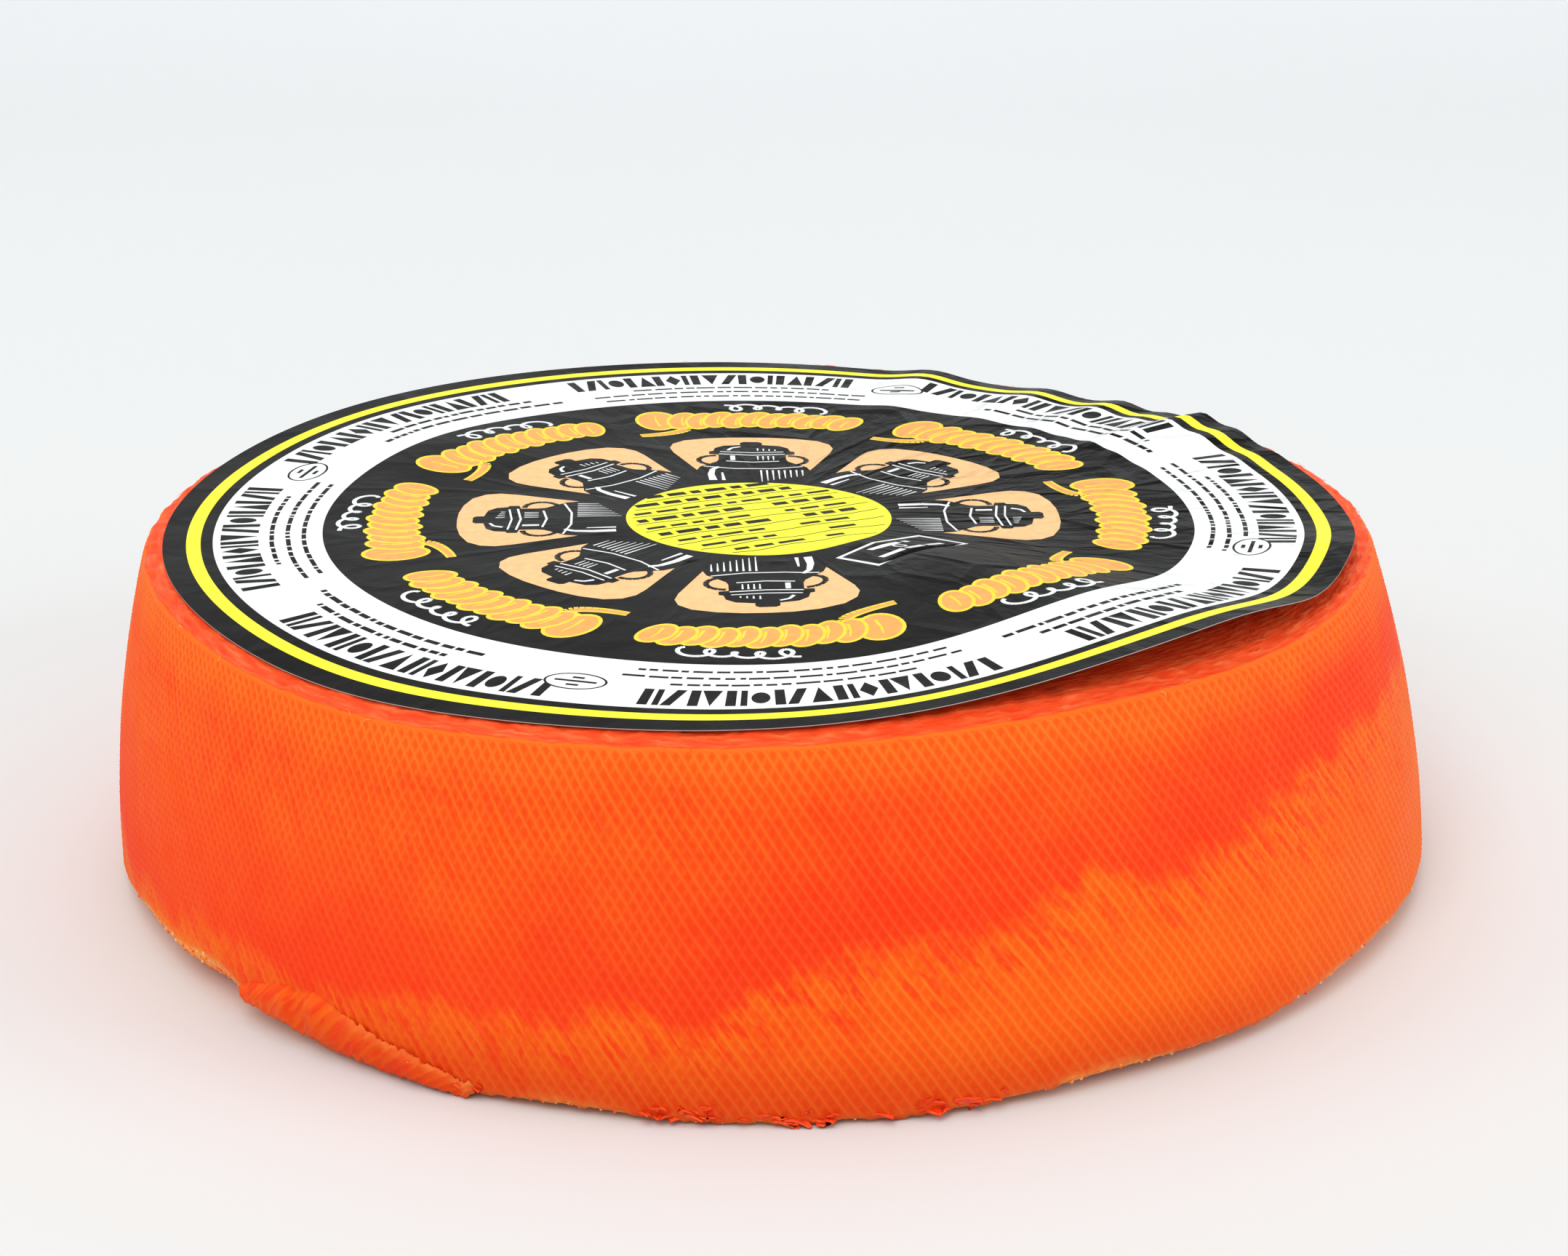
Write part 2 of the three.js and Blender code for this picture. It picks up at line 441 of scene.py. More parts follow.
LIGHT_DYE = (0.98, 0.152, 0.0090, 1)
RED_DYE = (0.97, 0.060, 0.0100, 1)
PIT_SHADE = (0.97, 0.70, 0.60, 1)
LINE_SHADE = (1.0, 1.2, 1.4, 1)
# painted shade for the front of the foot
FOOT_SHADE_PAINT = (0.78, 0.50, 0.8, 1)
# painted highlight along the ridge
RIDGE_HIGHLIGHT_PAINT = (0.98, 0.158, 0.012, 1)
PASTE_COLOUR = (0.95, 0.46, 0.10, 1)
TOP_COLOURS = (
    (0.30, (0.88, 0.055, 0.010, 1)), (0.48, (0.95, 0.085, 0.018, 1)),
    (0.58, (0.97, 0.115, 0.028, 1)), (0.72, (0.98, 0.19, 0.060, 1)),
)
CROSS_STRENGTHS = (               # how well the cross threads show: back, left, front, right, back
    (0.0, 0.6), (0.36, 0.75), (0.5, 0.6), (0.56, 0.55), (0.68, 0.55), (1.0, 0.6),
)
# How much the threads fade low down, the same way round.
LOW_FADES = ((0.0, 0.3), (0.3, 0.6), (0.4, 0.45), (0.5, 0.15), (1.0, 0.3))
TIDE_SPAN = 52.0
TIDE_HEIGHTS = (                  # azimuth in degrees, and the height in mm that the dye ran down to
    (-180, 20), (-125, 12), (-80, 8), (-60, 10), (-45, 10.5), (-22, 11), (-6, 14.5), (1, 22), (27, 27.5),
    (62, 36), (110, 38), (150, 28), (180, 20),
)


def ramp(value, stops, interpolation="LINEAR"):
    """A colour ramp with the given stops; a number for a stop's colour is a grey."""
    node = add_node(value.tree, "ShaderNodeValToRGB", {"Fac": value})
    node.color_ramp.interpolation = interpolation
    elements = node.color_ramp.elements
    while len(elements) < len(stops):
        elements.new(0.5)
    for element, (position, colour) in zip(elements, stops):
        element.position = position
        element.color = colour if isinstance(colour, tuple) else (colour, colour, colour, 1)
    return Reading(value.tree, node.outputs["Color"])


def attribute(tree, name, output="Fac"):
    return read(tree, "ShaderNodeAttribute", output, attribute_name=name)


def smooth_range(value, low, high, bottom=0.0, top=1.0):
    return mapped(value, low, high, bottom, top, "SMOOTHSTEP")


def cosine(value):
    return value.work_out("COSINE", value)


def sine(value):
    return value.work_out("SINE", value)


def higher(value, other):
    return value.work_out("MAXIMUM", value, other)


def clamped(value):
    return read(value.tree, "ShaderNodeClamp", "Result", {"Value": value})


def joined(x, y, z):
    return read(z.tree, "ShaderNodeCombineXYZ", "Vector", {"X": x, "Y": y, "Z": z})


def distance(x, y):
    return x.work_out("SQRT", x * x + y * y)


def bumped(relief, depth, strength):
    """The surface's direction once the relief, of so many metres, is felt."""
    values = {"Height": relief, "Distance": depth, "Strength": strength}
    return read(relief.tree, "ShaderNodeBump", "Normal", values)


def make_rind_material():
    material, tree, shader = make_material("dyed_rind")
    place = read(tree, "ShaderNodeTexCoord", "Object")
    x, y, z = axes(place)
    azimuth = x.work_out("ARCTAN2", x, y * -1.0)
    azimuth_share = azimuth * (0.5 / math.pi) + 0.5
    height = z / MM
    blotches = noise_at(place, 95.0, 4.0)
    wear = noise_at(place, 230.0, 3.0)

    def thread_line(phase):
        return (cosine(phase * (2 * math.pi)) * 0.5 + 0.5) ** 2.3

    def shaded(colour, shade):
        return mix_colour(tree, 1.0, colour, shade, "MULTIPLY")

    # Thread marks: two crossed sets of fine raised lines, with darker pits between them. The cross
    # threads show best near the ridge, and all threads fade low down on the left.
    main_phase, up_cloth, _ = axes(read(tree, "ShaderNodeUVMap", "UV", uv_map="cloth"))
    height_share = smooth_range(up_cloth, 6.0, 34.0)
    cross_strength = ramp(azimuth_share, CROSS_STRENGTHS) * (height_share * 0.25 + 0.75)
    main_line = thread_line(main_phase)
    crossed = thread_line(main_phase - up_cloth) * (cross_strength * (wear * 1.6 + 0.2))
    net = main_line * crossed * 0.25 + higher(main_line, crossed)
    low_left = ramp(azimuth_share, LOW_FADES) * (1.0 - height_share)
    net_strength = attribute(tree, "imprint") * (1.0 - low_left)
    net = clamped((net - 0.38) * net_strength + 0.38)
    on_wall = smooth_range(up_cloth, 35.4, 36.2, 1.0, 0.0) * smooth_range(up_cloth, -0.5, 0.3)

    # The dye ran down along the thread marks, each run a little longer or shorter than the next.
    turned = main_phase * (2 * math.pi / THREADS)
    run_place = joined(sine(turned), cosine(turned), height * 0.003)
    tide_stops = [((degrees + 180) / 360, tide / TIDE_SPAN) for degrees, tide in TIDE_HEIGHTS]
    tide = ramp(azimuth_share, tide_stops, "B_SPLINE") * TIDE_SPAN
    broad_runs = noise_at(run_place, 7.0, 1.0) * 12.0 - 6.0
    narrow_runs = noise_at(run_place, 46.0, 3.0) * 9.0 - 4.5
    above = height - (tide + (broad_runs + narrow_runs)) + (blotches * 7.0 - 3.5)
    fading = smooth_range(above, 2.0, 28.0, 1.0, 0.46)
    long_run = smooth_range(noise_at(run_place, 75.0), 0.50, 0.60) * smooth_range(above, -14.0, -3.0)
    dyed = higher(smooth_range(above, -2.2, 2.6) * fading, long_run * 0.7)
    dyed = (noise_at(place, 34.0, 3.0) - 0.5) * 0.9 + dyed
    dyed = (noise_at(run_place, 110.0) - 0.5) * 0.5 + dyed
    colour = mix_colour(tree, clamped(dyed), LIGHT_DYE, RED_DYE)

    # Painted shade: the front of the foot is painted darker towards the floor.
    painted_foot_shade = smooth_range(height, 1.0, 14.0, 0.95, 0.0) * smooth_range(y, -50 * MM, -90 * MM)
    colour = mix_colour(tree, painted_foot_shade, colour, shaded(colour, FOOT_SHADE_PAINT))

    # Painted highlight: the wall is painted paler towards the ridge, and the threads there are palest.
    painted_ridge_highlight = smooth_range(blotches * 6.0 + up_cloth, 32.0, 38.5, 0.0, 0.9)
    colour = mix_colour(tree, painted_ridge_highlight, colour, RIDGE_HIGHLIGHT_PAINT)
    worn_net = (wear - 0.5) * 0.5 + net
    netted = mix_colour(tree, worn_net, shaded(colour, PIT_SHADE), shaded(colour, LINE_SHADE))
    colour = mix_colour(tree, on_wall, colour, netted)

    # The top face is redder, with fine scaly streaks that run round it.
    scale_place = joined(sine(azimuth) * 22.0, cosine(azimuth) * 22.0, distance(x, y) * 1100.0)
    scales = noise_at(scale_place, 1.0, 4.0)
    on_top = smooth_range(wear * 1.2 + up_cloth, 37.0, 37.9)
    colour = mix_colour(tree, on_top, colour, ramp(scales, TOP_COLOURS))

    # Torn places show the paste.
    bare = clamped(attribute(tree, "torn") * (noise_at(place, 900.0) * 2.6 - 0.35))
    colour = mix_colour(tree, bare, colour, PASTE_COLOUR)

    # Relief finer than the mesh: yarn, pores, scales and soft lumps.
    relief = net * on_wall * 0.14 + noise_at(place, 1500.0, 3.0) * 0.09
    relief = scales * on_top * 0.5 + (blotches * 0.22 + relief)
    fill(shader, {
        "Base Color": colour,
        "Normal": bumped(relief, MM, 0.9),
        "Roughness": blotches * 0.3 + 0.3,
        "Specular IOR Level": 0.06,
        "Subsurface Weight": 0.1,
        "Subsurface Radius": (1.0, 0.35, 0.1),
        "Subsurface Scale": 1.5 * MM,
    })
    return material


def start_tree(name, output, inputs):
    """A new geometry tree; each input has a name, a kind of socket and perhaps a usual value."""
    tree = bpy.data.node_groups.new(name, "GeometryNodeTree")
    for label, kind, *usual in inputs:
        socket = tree.interface.new_socket(label, in_out="INPUT", socket_type="NodeSocket" + kind)
        if usual:
            socket.default_value = usual[0]
    tree.interface.new_socket(output, in_out="OUTPUT", socket_type="NodeSocketGeometry")
    source = tree.nodes.new("NodeGroupInput")
    return tree, {socket.name: Reading(tree, socket) for socket in source.outputs}


def end_tree(tree, geometry, material):
    """Makes what a tree has built real, gives it its material and puts it out."""
    realized = read(tree, "GeometryNodeRealizeInstances", "Geometry", {"Geometry": geometry})
    values = {"Geometry": realized, "Material": material}
    finished = read(tree, "GeometryNodeSetMaterial", "Geometry", values)
    add_node(tree, "NodeGroupOutput", {0: finished})
    return tree


def named(tree, name):
    values = {"Name": name}
    return read(tree, "GeometryNodeInputNamedAttribute", "Attribute", values, data_type="FLOAT")


def cloth_imprint_tree(material):
    """Pushes the rind out along each thread mark, the main threads more than the cross ones."""
    tree, given = start_tree("cloth imprint", "Rind", (
        ("Rind", "Geometry"), ("Main Depth", "Float", 0.10), ("Cross Depth", "Float", 0.07),
        ("Lump Height", "Float", 0.22), ("Lump Size", "Float", 9.0),
    ))
    main = cosine(named(tree, "main_thread") * (2 * math.pi)) * given["Main Depth"]
    cross = cosine(named(tree, "cross_thread") * (2 * math.pi)) * given["Cross Depth"]
    position = read(tree, "GeometryNodeInputPosition", "Position")
    lumps = (noise_at(position, 1 / MM / given["Lump Size"]) - 0.5) * given["Lump Height"]
    imprint = named(tree, "imprint")
    push = ((main + cross) * imprint + lumps * imprint) * MM
    normal = read(tree, "GeometryNodeInputNormal", "Normal")
    offset = read(tree, "ShaderNodeVectorMath", "Vector", {0: normal, "Scale": push}, operation="SCALE")
    values = {"Geometry": given["Rind"], "Offset": offset}
    pushed = read(tree, "GeometryNodeSetPosition", "Geometry", values)
    return end_tree(tree, pushed, material)


def apply_tree(piece, tree, values=None):
    """Runs a geometry tree on a piece and keeps the plain mesh that it makes."""
    modifier = piece.modifiers.new(tree.name, "NODES")
    modifier.node_group = tree
    for item in tree.interface.items_tree:
        if item.item_type == "SOCKET" and item.in_out == "INPUT" and item.name in (values or {}):
            modifier[item.identifier] = values[item.name]
    graph = bpy.context.evaluated_depsgraph_get()
    mesh = bpy.data.meshes.new_from_object(piece.evaluated_get(graph), depsgraph=graph)
    piece.modifiers.remove(modifier)
    mesh.name = piece.name
    piece.data = mesh


rind_material = make_rind_material()
imprint_tree = cloth_imprint_tree(rind_material)
wheel = make_wheel()
apply_tree(wheel, imprint_tree)
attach(wheel, "root")
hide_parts("cheese_wheel")

# ---- the folded strip at the foot ---------------------------------------------------------
# A tongue of the same rind that squeezed out under the mould and was folded up against the wall.
# It is still part of the wheel at its left end, and it ends in a torn stub on the right.
HEM_LEFT = -48.0
HEM_RIGHT = -23.4
HEM_THICKNESS = 1.25
HEM_STEPS = 220
HEM_EDGES = (                     # share of its length, lower edge and crease above the floor in mm
    (0.0, 3.4, 5.8), (0.18, 2.9, 8.2), (0.38, 2.3, 9.4), (0.57, 1.4, 7.2), (0.74, 0.7, 5.1),
    (0.9, 0.4, 3.5), (1.0, 0.3, 2.4),
)
HEM_PROFILE = (                   # outwards and upwards, as shares of the thickness and the height
    (-0.5, 0.14), (0.05, 0.0), (0.55, 0.06), (0.92, 0.26), (1.02, 0.50), (0.92, 0.76), (0.64, 0.95),
    (0.36, 1.0), (0.18, 0.90), (-0.05, 0.78), (-0.5, 0.72), (-0.8, 0.42),
)


def smooth_loop(corners, steps):
    """Points along a smooth closed curve through the corners."""
    corners = np.array(corners)
    count = len(corners)
    points = []
    for step in range(steps):
        at = step / steps * count
        knot, t = int(at), at % 1
        p0, p1, p2, p3 = (corners[(knot + offset) % count] for offset in (-1, 0, 1, 2))
        points.append(
            0.5 * (2 * p1 + (p2 - p0) * t + (2 * p0 - 5 * p1 + 4 * p2 - p3) * t**2
                   + (3 * p1 - p0 - 3 * p2 + p3) * t**3)
        )
    return np.array(points)


def make_hem():
    sides = 34
    profile = smooth_loop(HEM_PROFILE, sides)
    turn_length = np.hypot(*((np.roll(profile, -1, axis=0) - profile) * (HEM_THICKNESS, 4.0)).T)
    climb = np.concatenate([[0], np.cumsum(turn_length)[:-1]])
    shares, lower_edge, crease = np.array(HEM_EDGES).T
    points, uvs, imprint, torn = [], [], [], []
    for step in range(HEM_STEPS):
        along = step / (HEM_STEPS - 1)
        azimuth = math.radians(HEM_LEFT + (HEM_RIGHT - HEM_LEFT) * along)
        foot = np.full(sides, azimuth)
        ragged = noise.fractal(Vector((along * 38, 3.0, 0)), 0.6, 2.0, 4)
        lumps = noise.fractal(Vector((along * 11, 8.0, 0)), 0.6, 2.0, 2)
        stand_off = float(step_up(along, 0.4, 0.62))
        closing = math.sqrt(max(0.0, 1 - max(0.0, (0.05 - along) / 0.05, (along - 0.965) / 0.035) ** 2))
        low = float(np.interp(along, shares, lower_edge)) + 0.4 * ragged + 0.4 * lumps
        height = float(np.interp(along, shares, crease)) + 0.35 * lumps
        middle = (low + height) / 2
        low, height = middle + (low - middle) * closing, middle + (height - middle) * closing
        top_edge = np.exp(-(((profile[:, 1] - 1.0) / 0.2) ** 2))
        tipped_out = (profile[:, 0] > 0.05) * (stand_off * 0.15 - 0.25 * (1 - stand_off))
        out = profile[:, 0] + tipped_out * top_edge
        thickness = HEM_THICKNESS * (1 + 0.35 * lumps) * closing
        up = low + (height - low) * profile[:, 1] + top_edge * (0.5 * ragged + 0.25 * stand_off * ragged)
        up = np.maximum(up, 0.06)
        radius = wall_radius(foot, up) - 0.25 + out * (thickness + 0.2 * lumps)
        lean = LEAN * up
        points.extend(np.stack([radius * np.sin(foot) - lean, -radius * np.cos(foot), up], axis=1))
        threads = THREADS * azimuth / (2 * math.pi) - 1.7 * MAIN_SLANT * climb
        uvs.append(np.stack([threads, -(MAIN_SLANT + CROSS_SLANT) * climb], axis=1))
        imprint.append(np.where(out > 0.2, 0.6, 0))
        torn.append(top_edge * stand_off * 0.2 + max(0.0, along - 0.94) * 3)
    ends = np.mean(points[:sides], axis=0), np.mean(points[-sides:], axis=0)
    points.extend(ends)
    faces = [tuple(reversed(face)) for face in tube_faces(HEM_STEPS, sides)]
    hem = link_mesh("folded_strip", np.array(points) * MM, faces)

    mesh = hem.data
    uvs = np.concatenate(uvs + [uvs[0][:1], uvs[-1][:1]])
    values = {
        "main_thread": uvs[:, 0],
        "cross_thread": uvs[:, 0] - uvs[:, 1],
        "imprint": np.concatenate(imprint + [[0, 0]]),
        "torn": np.concatenate(torn + [[0, 0.5]]),
    }
    for name, column in values.items():
        store(mesh, name, column)
    lay_cloth(mesh, uvs[corner_points(mesh)] * (1, 0) + (0, 5))
    return hem


hem = make_hem()
apply_tree(hem, imprint_tree, {
    "Main Depth": 0.08, "Cross Depth": 0.06, "Lump Height": 0.6, "Lump Size": 6.0,
})
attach(hem, "root")

# ---- crumbs, shreds and fibres ------------------------------------------------------------
# Where the rind is torn, crumbs of the pale paste cling to it, and red shreds curl up at the foot.
# Fine fibres left by the cloth stand along the ridge.
PASTE_COLOURS = (                 # red rind at one end, pale paste at the other
    (0.0, (0.90, 0.055, 0.008, 1)), (0.35, (0.95, 0.13, 0.015, 1)),
    (0.7, (0.96, 0.33, 0.06, 1)), (1.0, (0.97, 0.60, 0.26, 1)),
)


def make_crumb_shape():
    """A small uneven lump, about 1 mm across."""
    shape = bmesh.new()
    bmesh.ops.create_icosphere(shape, subdivisions=1, radius=0.5)
    for vertex in shape.verts:
        vertex.co *= (1 + 0.5 * noise.noise(vertex.co * 2.6 + Vector((3, 1, 7)))) * MM
    mesh = bpy.data.meshes.new("crumb_shape")
    shape.to_mesh(mesh)
    shape.free()
    mesh.shade_smooth()
    return link_piece("crumb_shape", mesh)


def make_fibre_shape():
    """A curled fibre, 2 mm long, that lies along its own X axis."""
    rings, sides = 9, 5
    points = []
    for ring in range(rings):
        along = ring / (rings - 1)
        thickness = 0.05 * math.sin(math.pi * (0.08 + 0.84 * along)) ** 0.5
        centre = (2 * along - 1, 0.35 * math.sin(4.2 * along), 0.12 + 0.3 * math.sin(2.6 * along) ** 2)
        for side in range(sides):
            turn = 2 * math.pi * side / sides
            around = (0, thickness * math.cos(turn), thickness * math.sin(turn))
            points.append(tuple(np.add(centre, around)))
    points.append((-1.03, 0, 0.12))
    points.append((1.03, 0.35 * math.sin(4.2), 0.12 + 0.3 * math.sin(2.6) ** 2))
    return link_mesh("fibre_shape", np.array(points) * MM, tube_faces(rings, sides))


def make_shred_shape():
    """A torn flake of rind, about 3 mm across and 3 mm up its Y axis, that curls away along Z."""
    across, upwards = 9, 9
    front = []
    for row in range(upwards):
        up = row / (upwards - 1)
        for column in range(across):
            side = 2 * column / (across - 1) - 1
            ragged = noise.noise(Vector((side * 2.2, up * 2.5, 4.0)))
            half = 1.9 * (1 - 0.86 * up**1.3) + 0.3 * ragged
            curl = 1.1 * up**2.2 + 0.35 * noise.noise(Vector((side * 1.3, up * 1.6, 9.0))) - 0.25
            front.append((side * half + 0.5 * up, 2.9 * up + 0.5 * ragged - 0.5, curl))
    front = np.array(front)
    back = front - (0, 0, 0.4)
    faces = []
    count = across * upwards
    for row in range(upwards - 1):
        for column in range(across - 1):
            corner = row * across + column
            face = (corner, corner + 1, corner + across + 1, corner + across)
            faces.append(face)
            faces.append(tuple(point + count for point in reversed(face)))
    rim = list(range(across))
    rim += [row * across + across - 1 for row in range(1, upwards)]
    rim += [(upwards - 1) * across + column for column in range(across - 2, -1, -1)]
    rim += [row * across for row in range(upwards - 2, 0, -1)]
    for start, end in zip(rim, rim[1:] + rim[:1]):
        faces.append((end, start, start + count, end + count))
    return link_mesh("shred_shape", np.vstack([front, back]) * MM, faces)


def scatter_tree(material):
    """Strews copies of a shape over a piece wherever a named attribute is high."""
    tree, given = start_tree("strewn bits", "Bits", (
        ("Piece", "Geometry"), ("Shape", "Object"), ("Where", "String"),
        ("Bits Per Square Metre", "Float", 1000.0), ("Smallest", "Float", 0.5), ("Largest", "Float", 1.5),
        ("Spin", "Float", math.pi), ("Palest", "Float", 1.0), ("Least", "Float", 0.3), ("Seed", "Int", 1),
    ))

    def random_between(low, high, seed_step):
        values = {2: low, 3: high, "Seed": given["Seed"] + float(seed_step)}
        return read(tree, "FunctionNodeRandomValue", 1, values)

    share = higher(named(tree, given["Where"]) - given["Least"], 0.0)
    spread = add_node(tree, "GeometryNodeDistributePointsOnFaces", {
        "Mesh": given["Piece"], "Density": share * given["Bits Per Square Metre"], "Seed": given["Seed"],
    })
    points, normal = (Reading(tree, spread.outputs[name]) for name in ("Points", "Normal"))
    facing = read(tree, "FunctionNodeAlignRotationToVector", "Rotation", {"Vector": normal}, axis="Z")
    upright = read(
        tree, "FunctionNodeAlignRotationToVector", "Rotation",
        {"Rotation": facing, "Vector": (0, 0, 1)}, axis="Y", pivot_axis="Z",
    )
    spin = joined(0.0, 0.0, random_between(given["Spin"] * -1.0, given["Spin"], 11))
    turn = read(tree, "FunctionNodeEulerToRotation", "Rotation", {"Euler": spin})
    turned = read(
        tree, "FunctionNodeRotateRotation", "Rotation",
        {"Rotation": upright, "Rotate By": turn}, rotation_space="LOCAL",
    )
    shape = read(tree, "GeometryNodeObjectInfo", "Geometry", {"Object": given["Shape"]})
    size = random_between(given["Smallest"], given["Largest"], 23)
    placed = read(
        tree, "GeometryNodeInstanceOnPoints", "Instances",
        {"Points": points, "Instance": shape, "Rotation": turned, "Scale": size},
    )
    pale = read(
        tree, "GeometryNodeStoreNamedAttribute", "Geometry",
        {"Geometry": placed, "Name": "pale", "Value": random_between(0.0, given["Palest"], 37)},
        data_type="FLOAT", domain="INSTANCE",
    )
    realized = read(tree, "GeometryNodeRealizeInstances", "Geometry", {"Geometry": pale})

    # Nothing goes under the floor or stands out past the front of the wheel.
    position = read(tree, "GeometryNodeInputPosition", "Position")
    least_place = (-1, wheel_low[1] * MM, 0.05 * MM)
    values = {0: position, 1: least_place}
    kept_in = read(tree, "ShaderNodeVectorMath", "Vector", values, operation="MAXIMUM")
    values = {"Geometry": realized, "Position": kept_in}
    return end_tree(tree, read(tree, "GeometryNodeSetPosition", "Geometry", values), material)


def make_paste_material():
    material, tree, shader = make_material("torn_paste")
    grain = noise_at(read(tree, "ShaderNodeTexCoord", "Object"), 900.0, 3.0)
    paleness = (grain - 0.5) * 0.9 + attribute(tree, "pale")
    fill(shader, {
        "Base Color": ramp(paleness, PASTE_COLOURS),
        "Normal": bumped(grain, 0.3 * MM, 0.8),
        "Roughness": grain * 0.3 + 0.2,
        "Specular IOR Level": 0.25,
    })
    return material


strewn_tree = scatter_tree(make_paste_material())


def strew(name, piece, shape, values):
    """Makes a new piece of the bits that are strewn over another piece."""
    bits = bpy.data.objects.new(name, piece.data.copy())
    bpy.context.collection.objects.link(bits)
    apply_tree(bits, strewn_tree, {"Shape": shape, **values})
    bits.data.shade_smooth()
    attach(bits, "root")
    return bits


crumb_shape = make_crumb_shape()
fibre_shape = make_fibre_shape()
shred_shape = make_shred_shape()
strew("foot_crumbs", wheel, crumb_shape, {
    "Where": "torn", "Bits Per Square Metre": 1.5e6, "Smallest": 0.2, "Largest": 0.75, "Least": 0.2,
    "Palest": 1.0, "Seed": 3,
})
strew("strip_crumbs", hem, crumb_shape, {
    "Where": "torn", "Bits Per Square Metre": 1.2e6, "Smallest": 0.2, "Largest": 0.6, "Least": 0.05,
    "Palest": 0.7, "Seed": 8,
})
strew("foot_shreds", wheel, shred_shape, {
    "Where": "shred", "Bits Per Square Metre": 1.3e6, "Smallest": 0.4, "Largest": 1.0, "Least": 0.12,
    "Spin": 0.8, "Palest": 0.18, "Seed": 5,
})
strew("ridge_fibres", wheel, fibre_shape, {
    "Where": "ridge", "Bits Per Square Metre": 1.6e5, "Smallest": 0.3, "Largest": 0.9, "Least": 0.2,
    "Spin": 1.2, "Palest": 1.0, "Seed": 12,
})
for shape in (crumb_shape, fibre_shape, shred_shape):
    bpy.data.objects.remove(shape)

# ---- the paper label --------------------------------------------------------------------
# A thin round sheet of glossy printed paper stuck to the top face. Its front right part has come
# loose and curled up, and its back right edge is puckered. Every printed shape is cut into the sheet.
PAPER_THICKNESS = 0.12
PAPER_GAP = 0.3
CURL_HEIGHT = 4.6
CURL_AZIMUTH = 43
PUCKERS = (                       # azimuth, height in mm, half width in degrees
    (160.5, 1.1, 3.5), (146.5, 0.8, 3.0), (137, 1.1, 2.8), (130.5, 0.8, 2.2), (125.5, 2.4, 2.6),
    (120, 1.6, 3.2), (112.5, 0.5, 3.0),
)
SECTORS = 8
FIRST_SECTOR = 2.0                # plan angle of the first sector's middle, in degrees
NOTE_SECTOR = 7                   # this one has a framed note and no milk churn


def label_lift(azimuth, radius):
    """How far the sheet stands off the rind: the stretch that has curled up, and the puckers."""
    share = radius / LABEL_RADIUS
    away = (np.degrees(azimuth) - CURL_AZIMUTH + 180) % 360 - 180
    spread = np.where(away < 0, 22, 18)
    rising = 1.35 * share / (share + 0.35) * step_up(share, 0.1, 0.5)
    curl = CURL_HEIGHT * np.exp(-((away / spread) ** 2)) * rising
    turned_up = 2.6 * hump(azimuth, 76, 11) * share**5 + hump(azimuth, 52, 10) * share**14
    puckered = sum(height * hump(azimuth, centre, half_width) for centre, height, half_width in PUCKERS)
    return curl + turned_up + puckered * step_up(share, 0.55, 1.0)


def label_height(x, y):
    """Height of the sheet's underside over a place on the label, from the label's middle, in mm."""
    azimuth = np.arctan2(x, -y)
    radius = np.hypot(x, y)
    return top_height(azimuth, radius) + PAPER_GAP + label_lift(azimuth, radius)


INKS = {
    "black": (0.005, 0.0045, 0.004),
    "white": (0.90, 0.91, 0.90),
    "yellow": (1.0, 0.95, 0.045),
    "gold": (0.95, 0.72, 0.05),
    "peach": (0.96, 0.57, 0.26),
    "orange": (0.93, 0.42, 0.11),
    # grey for the cut edge and the underside of the white sheet: painted shade
    "painted edge shade": (0.42, 0.41, 0.38),
}
artwork = []                      # (ink, outline), painted in this order; outlines run anticlockwise


def paint(ink, outline):
    following = outline[1:] + outline[:1]
    doubled_area = sum(x0 * y1 - x1 * y0 for (x0, y0), (x1, y1) in zip(outline, following))
    artwork.append((ink, outline if doubled_area > 0 else outline[::-1]))


def polar(radius, angle):
    """A point of the sheet; the angle is in degrees, anticlockwise from the right."""
    return radius * math.cos(math.radians(angle)), radius * math.sin(math.radians(angle))


def circle(radius, steps=360):
    return [polar(radius, 360 * step / steps) for step in range(steps)]


def wrap(outline, radius, angle):
    """Lays a flat outline round the label: x runs clockwise along the arc, y outwards from the radius."""
    return [polar(radius + y, angle - math.degrees(x / radius)) for x, y in outline]


def stand(outline, angle):
    """Turns a flat outline, y outwards from the label's middle, into its sector without bending it."""
    turn = math.radians(angle - 90)
    cos, sin = math.cos(turn), math.sin(turn)
    return [(x * cos - y * sin, x * sin + y * cos) for x, y in outline]


def ellipse(x, y, half_width, half_height, tilt=0.0, steps=24):
    outline = []
    for step in range(steps):
        turn = 2 * math.pi * step / steps
        across, up = half_width * math.cos(turn), half_height * math.sin(turn)
        outline.append((x + across * math.cos(tilt) - up * math.sin(tilt),
                        y + across * math.sin(tilt) + up * math.cos(tilt)))
    return outline


def brush(points, width, taper):
    """The four-sided pieces of a brush stroke along a line of points."""
    pieces = []
    count = len(points) - 1
    for step in range(count):
        (x0, y0), (x1, y1) = points[step], points[step + 1]
        length = math.hypot(x1 - x0, y1 - y0) or 1.0
        nx, ny = -(y1 - y0) / length, (x1 - x0) / length
        half0 = width / 2 * (1 - taper * step / count)
        half1 = width / 2 * (1 - taper * (step + 1) / count)
        pieces.append([(x0 + nx * half0, y0 + ny * half0), (x0 - nx * half0, y0 - ny * half0),
                       (x1 - nx * half1, y1 - ny * half1), (x1 + nx * half1, y1 + ny * half1)])
    return pieces


def paint_stroke(ink, points, width, taper, lay, *where):
    """A brush stroke; each of its pieces is laid by wrap or stand, at the place that follows."""
    for piece in brush(points, width, taper):
        paint(ink, lay(piece, *where))


# Rings and the black field.
paint("black", circle(LABEL_RADIUS))
paint("yellow", circle(0.961 * LABEL_RADIUS))
paint("black", circle(0.937 * LABEL_RADIUS))
paint("white", circle(0.917 * LABEL_RADIUS))
paint("black", circle(0.735 * LABEL_RADIUS))

print_dice = random.Random(7)


def box(left, right, bottom, top):
    return [(left, bottom), (right, bottom), (right, top), (left, top)]


